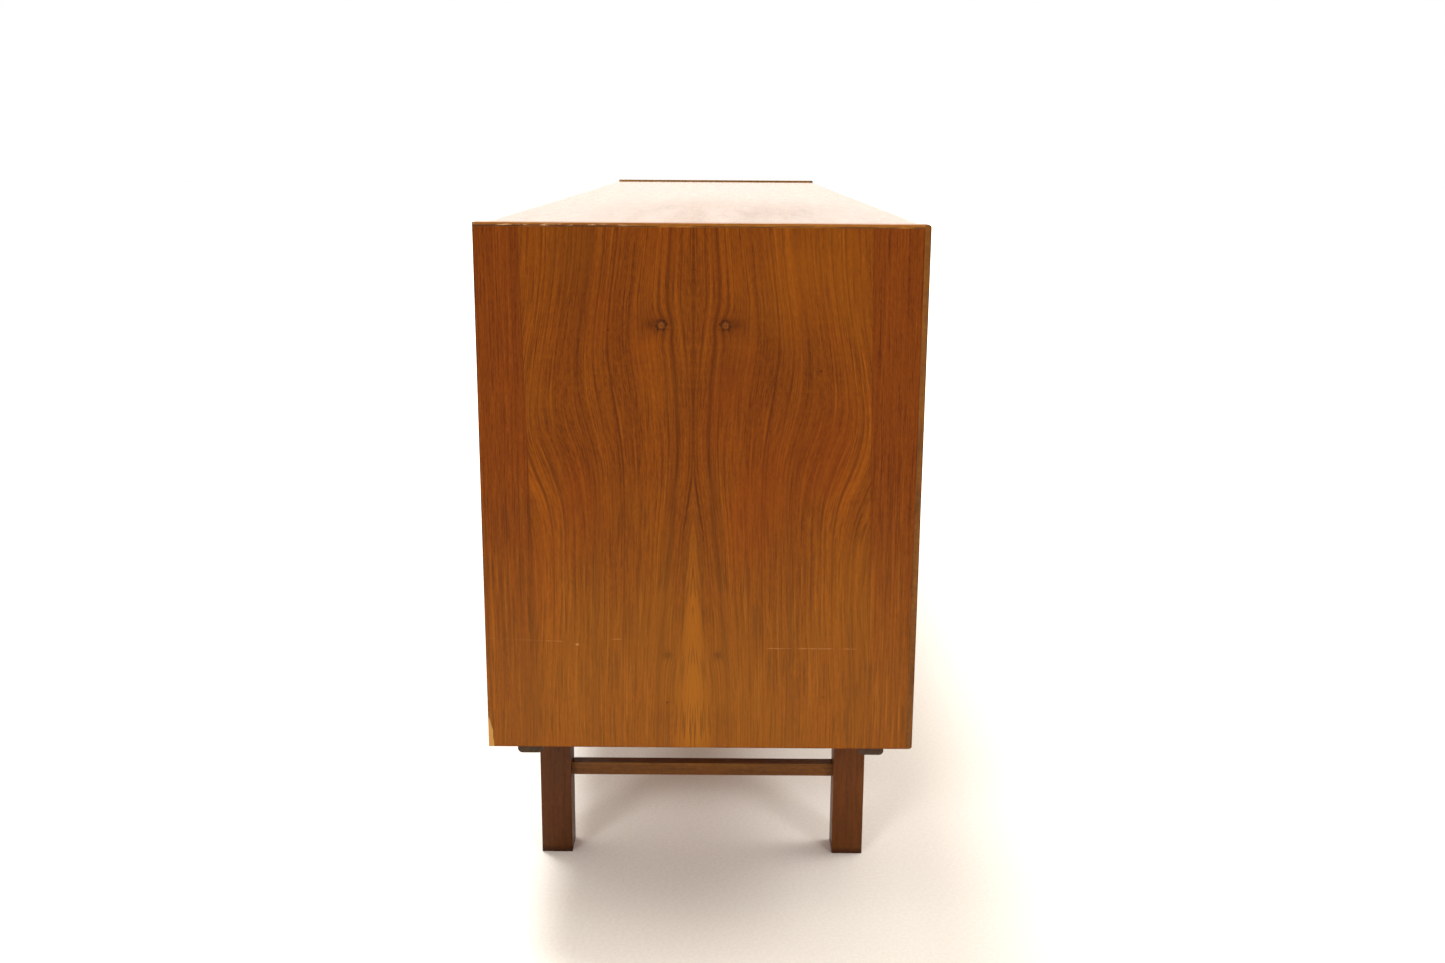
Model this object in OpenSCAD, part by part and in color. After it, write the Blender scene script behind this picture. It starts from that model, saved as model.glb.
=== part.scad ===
// Long teak sideboard on two leg frames, with two sliding doors and four drawers.
// X is the length, the front is at -Y, Z is up, and the origin is on the floor under the middle.

/* [Carcass] */
// Length over both end panels
length = 2000; // [1900:10:2100]
// Depth of the end panels, front to back
depth = 450; // [440:5:480]
// Height of the end panels
carcass_h = 550; // [540:5:580]
// Height of the open space under the carcass
leg_h = 200; // [180:5:240]
// Thickness of the end panels, top and bottom
board_t = 20; // [20:1:22]
// Thickness of the partitions
part_t = 18; // [16:1:20]
// How far the end panels stand above the top
lip_h = 4; // [3:0.5:6]

/* [Leg frames] */
// Side of a square leg
leg_w = 36; // [36:1:40]
// Distance between the middles of the front and rear legs
leg_spread = 346; // [330:2:346]
// From the end of the sideboard to the outer face of its leg frame
leg_inset = 150; // [120:5:200]
// Side of the thin square stretcher
stretcher_w = 15; // [13:1:18]
// From the underside of the carcass to the top of the stretcher
stretcher_drop = 90; // [80:5:100]

/* [Bearer rails] */
// Width of a bearer rail
bearer_w = 27; // [25:1:29]
// Height of a bearer rail
bearer_h = 18; // [16:1:20]
// Middle of a bearer rail, measured from the middle of the depth
bearer_y = 184.5; // [183:0.5:186]
// How far the rails stop short of the ends
bearer_inset = 25; // [20:5:60]

/* [Fronts] */
// How far the fronts sit behind the edge of the end panels
front_setback = 12; // [12:1:14]
// Thickness of the sliding doors
door_t = 16; // [16:1:17]
// How much one door covers the other
door_overlap = 24; // [20:2:40]

/* [Hidden] */
$fn = 48;
DRAWERS = 4;
SHELF_HOLES = 5;

// Colours
TEAK = [0.58, 0.30, 0.12];
TEAK_EDGE = [0.66, 0.40, 0.18];
TEAK_DARK = [0.40, 0.21, 0.11];
BLACK_STAIN = [0.16, 0.15, 0.13];
BEECH = [0.80, 0.64, 0.45];
PLY = [0.62, 0.42, 0.24];
STEEL = [0.70, 0.70, 0.72];
BRASS = [0.72, 0.58, 0.30];

// Carcass planes
half_l = length / 2;
half_d = depth / 2;
inner_x = half_l - board_t;
panel_top = leg_h + carcass_h;
top_face = panel_top - lip_h;
top_under = top_face - board_t;
floor_top = leg_h + board_t;
inner_h = top_under - floor_top;
front_lipping_t = 6;
lipping_round = 3;

// Bays: two behind the doors, one with the drawers on the right
bay_w = (2 * inner_x - 2 * part_t) / 3;
doors_part_x = -(bay_w + part_t) / 2;
drawers_part_x = (bay_w + part_t) / 2;
drawer_bay_x = bay_w / 2 + part_t;
drawers_part_front = -half_d + 6;

// Back panels lie in a rebate all round
back_t = 6;
rebate_deep = 8;
rebate_wide = 10;
rebate_y = half_d - rebate_deep;
back_gap = 0.5;

// Doors hang between two tracks, the right door in front
front_y = -half_d + front_setback;
door_gap = 3;
rear_door_y = front_y + door_t + door_gap;
rear_door_back = rear_door_y + door_t;
door_side_gap = 1;
door_edge_gap = 1.5;
door_opening_w = inner_x + bay_w / 2;
door_w = (door_opening_w + door_overlap) / 2 - door_side_gap;
tongue_t = 6;
groove_w = 7;
bottom_track_t = 8;
bottom_groove = 5;
top_track_t = 14;
top_groove = 11;
bottom_tongue = bottom_groove - 0.3 + door_edge_gap;
top_tongue = 6;
doors_part_front = rear_door_back + 4;
cup_r = 25;
cup_h = 10;
cup_inset = 48;
cup_z = (floor_top + top_under) / 2;
left_door_x = -inner_x + door_side_gap;
right_door_x = bay_w / 2 - door_side_gap - door_w;
left_cup_x = left_door_x + cup_inset;
right_cup_x = right_door_x + door_w - cup_inset;

// Shelves
shelf_t = 16;
shelf_gap = 1;
shelf_front = doors_part_front + 6;
shelf_back = rebate_y - 4;
pin_r = 3;
pin_in = 8;
pin_out = 9;
pin_step = 32;
shelf_z = cup_z - shelf_t / 2;
pin_ys = [shelf_front + 40, shelf_back - 40];

// Drawers
drawer_gap = 2.5;
front_t = 18;
front_h = (inner_h - (DRAWERS + 1) * drawer_gap) / DRAWERS;
front_w = bay_w - 4;
front_x = drawer_bay_x + bay_w / 2;
side_t = 12;
side_lift = 12;
side_h = front_h - 2 * side_lift;
side_gap = 3;
side_back = rebate_y - 27;
side_housing = 10;
box_back_t = 10;
box_bottom_t = 4;
bottom_lift = 9;
bottom_in = 5;
box_x0 = drawer_bay_x + side_gap;
box_x1 = inner_x - side_gap;
runner_t = 8.5;
runner_h = 12;
runner_front = front_y + front_t + 16;
runner_back = side_back;
slot_deep = 6;
slot_play = 0.5;
grip_w = 116;
grip_h = 20;
grip_out = front_setback - 0.5;
grip_cove = 9;
grip_drop = 20;

// Leg frames
leg_x = half_l - leg_inset - leg_w / 2;
leg_y = leg_spread / 2;
leg_inner_y = leg_y - leg_w / 2;
rail_t = 22;
rail_h = 40;
rail_tenon_t = 10;
rail_tenon_h = 26;
rail_tenon_drop = 3;
rail_tenon_l = 14;
rail_screw_y = 100;
stretcher_top = leg_h - stretcher_drop;
stretcher_tenon = 9;
stretcher_tenon_l = 14;
bearer_round = 5;

// Screws and dowels
base_screw_r = 2.5;
base_head_r = 5;
base_head_h = 3;
base_screw_z = leg_h - bearer_h + 0.5;
base_screw_l = 28;
hole_play = 0.1;
back_screw_r = 1.5;
back_head_r = 3;
back_head_h = 1.2;
back_screw_l = 18;
dowel_r = 4;
dowel_play = 0.05;
dowel_in_panel = 12;
dowel_in_board = 20;
dowel_ys = [-150, -50, 50, 150];
part_dowel_ys = [-120, 20, 160];
part_dowel_in = 8;

function drawer_z(i) = floor_top + drawer_gap + (DRAWERS - i) * (front_h + drawer_gap);
function side_z(i) = drawer_z(i) + side_lift;

module box(low, high) {
    translate(low)
        cube(high - low);
}

// A bar along X whose outline in Y and Z has its two lower corners rounded
module rounded_bar(x0, x1, y_mid, w, z0, h, r) {
    translate([x0, y_mid, z0])
        rotate([90, 0, 90])
            linear_extrude(x1 - x0) {
                translate([-w / 2, r])
                    square([w, h - r]);
                translate([-w / 2 + r, 0])
                    square([w - 2 * r, r]);
                for (s = [-1, 1])
                    translate([s * (w / 2 - r), r])
                        circle(r);
            }
}

// Dowels between the end panels and the top and bottom boards, for one end
module end_dowels(s, play) {
    for (z = [leg_h + board_t / 2, top_under + board_t / 2])
        for (y = dowel_ys)
            translate([s * inner_x, y, z])
                rotate([0, s * 90, 0])
                    translate([0, 0, -dowel_in_board - play])
                        cylinder(h = dowel_in_board + dowel_in_panel + 2 * play, r = dowel_r + play);
}

// Dowels between a partition and the top and bottom boards
module partition_dowels(x, play) {
    for (y = part_dowel_ys)
        for (side = [0, 1])
            translate([x, y, side == 0 ? floor_top : top_under])
                mirror([0, 0, side])
                    translate([0, 0, -part_dowel_in - play])
                        cylinder(h = part_dowel_in + dowel_in_board + 2 * play, r = dowel_r + play);
}

module all_dowels(play) {
    for (s = [-1, 1])
        end_dowels(s, play);
    partition_dowels(doors_part_x, play);
    partition_dowels(drawers_part_x, play);
}

// A flat-headed screw along +Z with its head's outer face at the origin
module screw(r, l, head_r, head_h) {
    cylinder(h = l, r = r);
    cylinder(h = head_h, r = head_r);
}

// Five screws up through each bearer rail, and two through each cross rail
module base_screw_places() {
    for (sy = [-1, 1]) {
        for (x = [-leg_x - leg_w, -leg_x / 2, 0, leg_x / 2, leg_x + leg_w])
            translate([x, sy * bearer_y, base_screw_z])
                children();
        for (sx = [-1, 1])
            translate([sx * leg_x, sy * rail_screw_y, base_screw_z])
                children();
    }
}

module base_screw_holes() {
    base_screw_places()
        cylinder(h = base_screw_l + hole_play, r = base_screw_r + hole_play);
}

// Three screws along the left and the right edge of each back panel
module back_screw_places() {
    edge = rebate_wide / 2;
    for (z = [floor_top + 40, cup_z, top_under - 40])
        for (x = [-inner_x - edge, doors_part_x - edge, doors_part_x + edge,
                  drawers_part_x - edge, drawers_part_x + edge, inner_x + edge])
            translate([x, rebate_y + back_t + back_head_h, z])
                rotate([90, 0, 0])
                    children();
}

module back_screw_holes() {
    back_screw_places()
        cylinder(h = back_screw_l + hole_play, r = back_screw_r + hole_play);
}

// Two columns of shelf pin holes, bored to both sides of the plane x
module shelf_pin_holes(x, deep) {
    for (y = pin_ys)
        for (k = [-(SHELF_HOLES - 1) / 2:(SHELF_HOLES - 1) / 2])
            translate([x, y, shelf_z - pin_r + k * pin_step])
                rotate([0, 90, 0])
                    cylinder(h = 2 * deep, r = pin_r + hole_play, center = true);
}

module end_panel(s) {
    difference() {
        box([s < 0 ? -half_l : inner_x, -half_d + front_lipping_t, leg_h],
            [s < 0 ? -inner_x : half_l, half_d, top_face]);
        box([s * inner_x - rebate_wide, rebate_y, floor_top - rebate_wide],
            [s * inner_x + rebate_wide, half_d + 1, top_under + rebate_wide]);
        end_dowels(s, dowel_play);
        back_screw_holes();
        if (s < 0)
            shelf_pin_holes(-inner_x, pin_in + hole_play);
    }
}

module end_panel_left() {
    color(TEAK)
        end_panel(-1);
}

module end_panel_right() {
    color(TEAK)
        end_panel(1);
}

module top_lipping(s) {
    color(TEAK_EDGE)
        box([s < 0 ? -half_l : inner_x, -half_d + front_lipping_t, top_face],
            [s < 0 ? -inner_x : half_l, half_d, panel_top]);
}

module top_lipping_left() {
    top_lipping(-1);
}

module top_lipping_right() {
    top_lipping(1);
}

// Solid edge on the front of an end panel, with its two front corners rounded
module front_lipping(s) {
    r = lipping_round;
    color(TEAK_DARK)
        translate([s < 0 ? -half_l : inner_x, 0, 0])
            rotate([90, 0, 90])
                linear_extrude(board_t) {
                    translate([-half_d + r, leg_h])
                        square([front_lipping_t - r, carcass_h]);
                    translate([-half_d, leg_h + r])
                        square([r, carcass_h - 2 * r]);
                    for (z = [leg_h + r, panel_top - r])
                        translate([-half_d + r, z])
                            circle(r);
                }
}

module front_lipping_left() {
    front_lipping(-1);
}

module front_lipping_right() {
    front_lipping(1);
}

module top_board() {
    color(TEAK)
        difference() {
            box([-inner_x, -half_d, top_under], [inner_x, half_d, top_face]);
            box([-inner_x - 1, rebate_y, top_under - 1],
                [inner_x + 1, half_d + 1, top_under + rebate_wide]);
            box([-inner_x - 1, front_y, top_under - 1],
                [bay_w / 2, rear_door_back, top_under + top_track_t]);
            all_dowels(dowel_play);
        }
}

module bottom_board() {
    color(TEAK)
        difference() {
            box([-inner_x, -half_d, leg_h], [inner_x, half_d, floor_top]);
            box([-inner_x - 1, rebate_y, floor_top - rebate_wide],
                [inner_x + 1, half_d + 1, floor_top + 1]);
            box([-inner_x - 1, front_y, floor_top - bottom_track_t],
                [bay_w / 2, rear_door_back, floor_top + 1]);
            all_dowels(dowel_play);
            base_screw_holes();
        }
}

module partition_doors() {
    color(TEAK)
        difference() {
            box([doors_part_x - part_t / 2, doors_part_front, floor_top],
                [doors_part_x + part_t / 2, rebate_y, top_under]);
            partition_dowels(doors_part_x, dowel_play);
            back_screw_holes();
            shelf_pin_holes(doors_part_x, part_t / 2 + 1);
        }
}

module partition_drawers() {
    color(TEAK)
        difference() {
            box([drawers_part_x - part_t / 2, drawers_part_front, floor_top],
                [drawers_part_x + part_t / 2, rebate_y, top_under]);
            partition_dowels(drawers_part_x, dowel_play);
            back_screw_holes();
            shelf_pin_holes(bay_w / 2, pin_in + hole_play);
        }
}

module back_panel(x0, x1) {
    color(PLY)
        difference() {
            box([x0, rebate_y, floor_top - rebate_wide + back_gap],
                [x1, rebate_y + back_t, top_under + rebate_wide - back_gap]);
            back_screw_holes();
        }
}

module back_panel_left() {
    back_panel(-inner_x - rebate_wide + back_gap, doors_part_x - back_gap);
}

module back_panel_middle() {
    back_panel(doors_part_x + back_gap, drawers_part_x - back_gap);
}

module back_panel_right() {
    back_panel(drawers_part_x + back_gap, inner_x + rebate_wide - back_gap);
}

module carcass_dowels() {
    color(BEECH)
        all_dowels(0);
}

module back_panel_screws() {
    color(BRASS)
        back_screw_places()
            screw(back_screw_r, back_screw_l, back_head_r, back_head_h);
}

module base_screws() {
    color(STEEL)
        base_screw_places()
            screw(base_screw_r, base_screw_l, base_head_r, base_head_h);
}

module bearer(s) {
    color(BLACK_STAIN)
        difference() {
            rounded_bar(-half_l + bearer_inset, half_l - bearer_inset, s * bearer_y,
                bearer_w, leg_h - bearer_h, bearer_h, bearer_round);
            base_screw_holes();
            base_screw_places()
                translate([0, 0, -1])
                    cylinder(h = base_head_h + 1 + hole_play, r = base_head_r + hole_play);
        }
}

module bearer_front() {
    bearer(-1);
}

module bearer_rear() {
    bearer(1);
}

// A square leg, with a notch in its outer top corner that the bearer rail lies in
module leg(sx, sy) {
    bearer_inner = bearer_y - bearer_w / 2;
    color(TEAK_DARK)
        difference() {
            translate([sx * leg_x - leg_w / 2, sy * leg_y - leg_w / 2, 0])
                cube([leg_w, leg_w, leg_h]);
            translate([sx * leg_x - leg_w / 2 - 1, sy > 0 ? bearer_inner : -bearer_inner - leg_w,
                       leg_h - bearer_h])
                cube([leg_w + 2, leg_w, bearer_h + 1]);
            cross_rail_body(sx);
            stretcher_body(sx);
        }
}

module leg_left_front() {
    leg(-1, -1);
}

module leg_left_rear() {
    leg(-1, 1);
}

module leg_right_front() {
    leg(1, -1);
}

module leg_right_rear() {
    leg(1, 1);
}

// Cross rail with a tenon into each leg
module cross_rail_body(sx) {
    translate([sx * leg_x, 0, leg_h - rail_h / 2])
        cube([rail_t, 2 * leg_inner_y, rail_h], center = true);
    translate([sx * leg_x, 0, leg_h - rail_h / 2 - rail_tenon_drop])
        cube([rail_tenon_t, 2 * (leg_inner_y + rail_tenon_l), rail_tenon_h], center = true);
}

module cross_rail(sx) {
    color(TEAK_DARK)
        difference() {
            cross_rail_body(sx);
            base_screw_holes();
            base_screw_places()
                translate([0, 0, -rail_h])
                    cylinder(h = rail_h + base_head_h + hole_play, r = base_head_r + hole_play);
        }
}

module cross_rail_left() {
    cross_rail(-1);
}

module cross_rail_right() {
    cross_rail(1);
}

// Stretcher with a tenon into each leg
module stretcher_body(sx) {
    translate([sx * leg_x, 0, stretcher_top - stretcher_w / 2])
        cube([stretcher_w, 2 * leg_inner_y, stretcher_w], center = true);
    translate([sx * leg_x, 0, stretcher_top - stretcher_w / 2])
        cube([stretcher_tenon, 2 * (leg_inner_y + stretcher_tenon_l), stretcher_tenon], center = true);
}

module stretcher_left() {
    color(TEAK)
        stretcher_body(-1);
}

module stretcher_right() {
    color(TEAK)
        stretcher_body(1);
}

// A strip with a groove for each door, along the whole door opening
module track(z0, z1, groove_z0, groove_z1) {
    color(TEAK_DARK)
        difference() {
            box([-inner_x, front_y, z0], [bay_w / 2, rear_door_back, z1]);
            for (y = [front_y + door_t / 2, rear_door_y + door_t / 2])
                box([-inner_x - 1, y - groove_w / 2, groove_z0],
                    [bay_w / 2 + 1, y + groove_w / 2, groove_z1]);
        }
}

module door_track_bottom() {
    track(floor_top - bottom_track_t, floor_top, floor_top - bottom_groove, floor_top + 1);
}

module door_track_top() {
    track(top_under, top_under + top_track_t, top_under - 1, top_under + top_groove);
}

// A sliding door: a board with a tongue along its top and bottom, and a blind bore for its cup
module door(x0, y0, cup_x) {
    color(TEAK)
        difference() {
            union() {
                box([x0, y0, floor_top + door_edge_gap],
                    [x0 + door_w, y0 + door_t, top_under - door_edge_gap]);
                box([x0, y0 + (door_t - tongue_t) / 2, floor_top + door_edge_gap - bottom_tongue],
                    [x0 + door_w, y0 + (door_t + tongue_t) / 2, top_under - door_edge_gap + top_tongue]);
            }
            translate([cup_x, y0 - 1, cup_z])
                rotate([-90, 0, 0])
                    cylinder(h = cup_h + 1, r = cup_r);
        }
}

module door_left() {
    door(left_door_x, rear_door_y, left_cup_x);
}

module door_right() {
    door(right_door_x, front_y, right_cup_x);
}

// A turned cup that fills the blind bore, with a rounded bottom corner inside
module door_cup(x, y0) {
    wall = 3.5;
    floor_t = 2;
    r = 4;
    color(TEAK_DARK)
        translate([x, y0, cup_z])
            rotate([-90, 0, 0])
                rotate_extrude($fn = 72)
                    difference() {
                        square([cup_r, cup_h]);
                        translate([0, -1])
                            square([cup_r - wall - r, cup_h + 1 - floor_t]);
                        translate([0, -1])
                            square([cup_r - wall, cup_h + 1 - floor_t - r]);
                        translate([cup_r - wall - r, cup_h - floor_t - r])
                            circle(r);
                    }
}

module door_cup_left() {
    door_cup(left_cup_x, rear_door_y);
}

module door_cup_right() {
    door_cup(right_cup_x, front_y);
}

module shelf(x0, x1) {
    color(BEECH)
        box([x0 + shelf_gap, shelf_front, shelf_z], [x1 - shelf_gap, shelf_back, shelf_z + shelf_t]);
}

module shelf_left() {
    shelf(-inner_x, doors_part_x - part_t / 2);
}

module shelf_middle() {
    shelf(doors_part_x + part_t / 2, bay_w / 2);
}

// Pins stand out of the walls of both door bays and hold the shelves
module shelf_pins() {
    walls = [[-inner_x, 1], [doors_part_x - part_t / 2, -1],
             [doors_part_x + part_t / 2, 1], [bay_w / 2, -1]];
    color(BRASS)
        for (wall = walls)
            for (y = pin_ys)
                translate([wall[0] + wall[1] * (pin_out - pin_in) / 2, y, shelf_z - pin_r])
                    rotate([0, 90, 0])
                        cylinder(h = pin_in + pin_out, r = pin_r, center = true);
}

module drawer_runners() {
    color(BEECH)
        for (i = [1:DRAWERS]) {
            z = side_z(i) + (side_h - runner_h) / 2;
            box([drawer_bay_x, runner_front, z], [drawer_bay_x + runner_t, runner_back, z + runner_h]);
            box([inner_x - runner_t, runner_front, z], [inner_x, runner_back, z + runner_h]);
        }
}

// Front board, with housings in its back for the sides and the bottom
module drawer_front(i) {
    back_y = front_y + front_t;
    color(TEAK)
        difference() {
            box([front_x - front_w / 2, front_y, drawer_z(i)],
                [front_x + front_w / 2, back_y, drawer_z(i) + front_h]);
            for (x = [box_x0, box_x1 - side_t])
                box([x, back_y - side_housing, side_z(i)], [x + side_t, back_y + 1, side_z(i) + side_h]);
            box([box_x0 + side_t, back_y - bottom_in, side_z(i) + bottom_lift],
                [box_x1 - side_t, back_y + 1, side_z(i) + bottom_lift + box_bottom_t]);
        }
}

// Bar grip on the upper part of the front, hollowed below for the fingers
module drawer_grip(i) {
    z = drawer_z(i) + front_h - grip_drop - grip_h;
    color(TEAK_DARK)
        difference() {
            box([front_x - grip_w / 2, front_y - grip_out, z],
                [front_x + grip_w / 2, front_y, z + grip_h]);
            translate([front_x - grip_w / 2 - 1, front_y, z])
                rotate([0, 90, 0])
                    cylinder(h = grip_w + 2, r = grip_cove);
        }
}

// Side with a groove for the runner and one for the bottom
module drawer_side(i, s) {
    x0 = s < 0 ? box_x0 : box_x1 - side_t;
    slot_x = s < 0 ? box_x0 - 1 : box_x1 - slot_deep;
    slot_z = side_z(i) + (side_h - runner_h) / 2 - slot_play;
    bottom_x = s < 0 ? box_x0 + side_t - bottom_in : box_x1 - side_t - 1;
    color(BEECH)
        difference() {
            box([x0, front_y + front_t - side_housing, side_z(i)],
                [x0 + side_t, side_back, side_z(i) + side_h]);
            box([slot_x, runner_front - 4, slot_z],
                [slot_x + slot_deep + 1, side_back + 1, slot_z + runner_h + 2 * slot_play]);
            box([bottom_x, front_y + front_t - side_housing - 1, side_z(i) + bottom_lift],
                [bottom_x + bottom_in + 1, side_back + 1, side_z(i) + bottom_lift + box_bottom_t]);
        }
}

// The back stands on the bottom, between the sides
module drawer_back(i) {
    color(BEECH)
        box([box_x0 + side_t, side_back - box_back_t - 4, side_z(i) + bottom_lift + box_bottom_t],
            [box_x1 - side_t, side_back - 4, side_z(i) + side_h - 6]);
}

module drawer_bottom(i) {
    color(PLY)
        box([box_x0 + side_t - bottom_in, front_y + front_t - bottom_in, side_z(i) + bottom_lift],
            [box_x1 - side_t + bottom_in, side_back, side_z(i) + bottom_lift + box_bottom_t]);
}

end_panel_left();
end_panel_right();
top_lipping_left();
top_lipping_right();
front_lipping_left();
front_lipping_right();
top_board();
bottom_board();
partition_doors();
partition_drawers();
back_panel_left();
back_panel_middle();
back_panel_right();
carcass_dowels();
back_panel_screws();
bearer_front();
bearer_rear();
base_screws();
leg_left_front();
leg_left_rear();
leg_right_front();
leg_right_rear();
cross_rail_left();
cross_rail_right();
stretcher_left();
stretcher_right();
door_track_top();
door_track_bottom();
door_left();
door_right();
door_cup_left();
door_cup_right();
shelf_left();
shelf_middle();
shelf_pins();
drawer_runners();
for (i = [1:DRAWERS]) {
    drawer_front(i);
    drawer_grip(i);
    drawer_side(i, -1);
    drawer_side(i, 1);
    drawer_back(i);
    drawer_bottom(i);
}
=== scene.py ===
"""A long teak sideboard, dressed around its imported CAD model. X is the length, the front is at -Y."""
import math
import random

import bmesh
import bpy
from mathutils import Matrix, Vector


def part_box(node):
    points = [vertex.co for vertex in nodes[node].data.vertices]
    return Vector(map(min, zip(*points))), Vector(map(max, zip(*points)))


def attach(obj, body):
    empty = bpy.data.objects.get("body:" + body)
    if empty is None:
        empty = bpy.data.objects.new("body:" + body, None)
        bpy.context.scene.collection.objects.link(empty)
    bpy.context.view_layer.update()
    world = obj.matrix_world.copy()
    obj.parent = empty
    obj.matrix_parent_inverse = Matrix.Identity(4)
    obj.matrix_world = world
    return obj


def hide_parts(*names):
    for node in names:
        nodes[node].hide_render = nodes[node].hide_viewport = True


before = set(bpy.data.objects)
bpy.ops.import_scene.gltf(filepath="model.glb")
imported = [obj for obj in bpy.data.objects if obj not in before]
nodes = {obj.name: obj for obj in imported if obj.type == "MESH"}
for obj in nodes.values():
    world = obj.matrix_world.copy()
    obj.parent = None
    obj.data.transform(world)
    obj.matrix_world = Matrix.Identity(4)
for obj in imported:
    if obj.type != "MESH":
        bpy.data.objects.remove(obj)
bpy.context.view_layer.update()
MM = 0.001
X, Y, Z = 0, 1, 2
ENDS = ("left", "right")
SIDES = ("front", "rear")
DRAWERS = range(1, 5)


# ---------------------------------------------------------------- places, all from the frame

left_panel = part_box("end_panel_left")
HALF_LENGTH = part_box("end_panel_right")[1].x
FRONT_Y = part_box("front_lipping_left")[0].y
BACK_Y = left_panel[1].y
PANEL_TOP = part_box("top_lipping_left")[1].z
PANEL_BOTTOM = left_panel[0].z
PANEL_H = PANEL_TOP - PANEL_BOTTOM


# ---------------------------------------------------------------- camera, lights and floor

# The camera's place is measured from the middle of the left end panel's upper edge
CAMERA_LENS = 35.68
CAMERA_SENSOR = 36
CAMERA_BACK = 1.4212
CAMERA_UP = 0.0711
CAMERA_TO_FRONT = 0.0235
CAMERA_PITCH = math.radians(13.074)
CAMERA_YAW = math.radians(0.065)
CAMERA_ROLL = math.radians(0.367)

# How bright the room is on its dim side, elsewhere, and how much more behind the right end
ROOM_DIM = 0.07
ROOM_WHITE = 1.25
ROOM_BEHIND = 1.1
SIDE_TINT = (1.0, 0.955, 0.845)
BEHIND_TINT = (1.0, 0.955, 0.900)
WHITE = (1.0, 1.0, 1.0)

# Name, direction of the lamp, power, and width in degrees
LAMPS = (
    ("overhead", (0.40, 0.24, 1.0), 2.6, 20),
    ("right_side", (0.20, -0.80, 1.0), 0.74, 24),
    ("front_left", (-1.5, 0.85, 0.90), 0.84, 14),
    ("front_right", (-1.5, -0.95, 0.90), 0.86, 14),
)

FLOOR_HALF = 30
PAPER = (0.94, 0.88, 0.81)
PAPER_LIGHT = (0.97, 0.92, 0.87)
PAPER_SPECKLE = (0.80, 0.74, 0.68)


def make_camera():
    """Looks along the length of the sideboard at its left end, a little from above."""
    data = bpy.data.cameras.new("camera")
    data.lens = CAMERA_LENS
    data.sensor_width = CAMERA_SENSOR
    data.clip_start = 0.01
    camera = bpy.data.objects.new("camera", data)
    bpy.context.collection.objects.link(camera)
    ahead = Vector((math.cos(CAMERA_YAW), math.sin(CAMERA_YAW), 0))
    level = Vector((math.sin(CAMERA_YAW), -math.cos(CAMERA_YAW), 0))
    forward = ahead * math.cos(CAMERA_PITCH) - Vector((0, 0, math.sin(CAMERA_PITCH)))
    upward = level.cross(forward)
    right = level * math.cos(CAMERA_ROLL) + upward * math.sin(CAMERA_ROLL)
    up = upward * math.cos(CAMERA_ROLL) - level * math.sin(CAMERA_ROLL)
    turn = Matrix((right, up, -forward)).transposed().to_4x4()
    place = Vector((-HALF_LENGTH - CAMERA_BACK, -CAMERA_TO_FRONT, PANEL_TOP + CAMERA_UP))
    camera.matrix_world = Matrix.Translation(place) @ turn
    bpy.context.scene.camera = camera


def make_light():
    """A white studio whose room is dim towards -X, and four soft lamps, the strongest one overhead."""
    make_room()
    for name, source, power, width in LAMPS:
        soft_lamp(name, source, power, width)
    bpy.context.scene.view_settings.view_transform = "Standard"


def make_room():
    """The camera sees plain white; the object is lit by a dim side, warm sides and a bright back."""
    g = Graph("studio", bpy.data.worlds)
    x, _, z = g.place("Generated")
    dim = g.step(x, 0.15, -0.4) * g.step(z, 0.98, 0.8)
    behind = g.step(x, 0.2, 0.9) * g.step(z, 0.5, 0.15)
    seen = Wire(g, g.tree.nodes.new("ShaderNodeLightPath").outputs["Is Camera Ray"])
    glow = ROOM_WHITE - dim * (ROOM_WHITE - ROOM_DIM) + behind * ROOM_BEHIND
    tint = g.mix(behind, SIDE_TINT, BEHIND_TINT)
    g.put(seen + (1.0 - seen) * glow, g.shader.inputs["Strength"])
    g.put(g.mix(seen, tint, WHITE), g.shader.inputs["Color"])
    bpy.context.scene.world = g.owner


def soft_lamp(name, source, power, width):
    """A far lamp that shines from a direction and covers a round patch of sky, width degrees across."""
    lamp = bpy.data.lights.new(name, "SUN")
    lamp.energy = power
    lamp.angle = math.radians(width)
    light = bpy.data.objects.new(name, lamp)
    light.rotation_euler = Vector(source).to_track_quat("Z", "Y").to_euler()
    bpy.context.collection.objects.link(light)


def make_floor():
    """One pale sheet of speckled studio paper, far wider than the view."""
    half = FLOOR_HALF
    mesh = bpy.data.meshes.new("studio_floor")
    corners = [(-half, -half, 0), (half, -half, 0), (half, half, 0), (-half, half, 0)]
    mesh.from_pydata(corners, [], [(0, 1, 2, 3)])
    floor = bpy.data.objects.new("studio_floor", mesh)
    bpy.context.collection.objects.link(floor)
    g = Graph("studio_paper")
    x, y, _ = g.place()
    cloud = g.noise((x * 1.5, y * 1.5, 0), detail=3)
    paper = g.mix(cloud, PAPER, PAPER_LIGHT)
    speckle = g.noise((x * 240, y * 240, 0), rough=0.7)
    paper = g.mix(g.step(speckle, 0.36, 0.64) * 0.32, paper, PAPER_SPECKLE)
    g.surface(paper, 0.9)
    mesh.materials.append(g.owner)


# ---------------------------------------------------------------- a small language for materials

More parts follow.
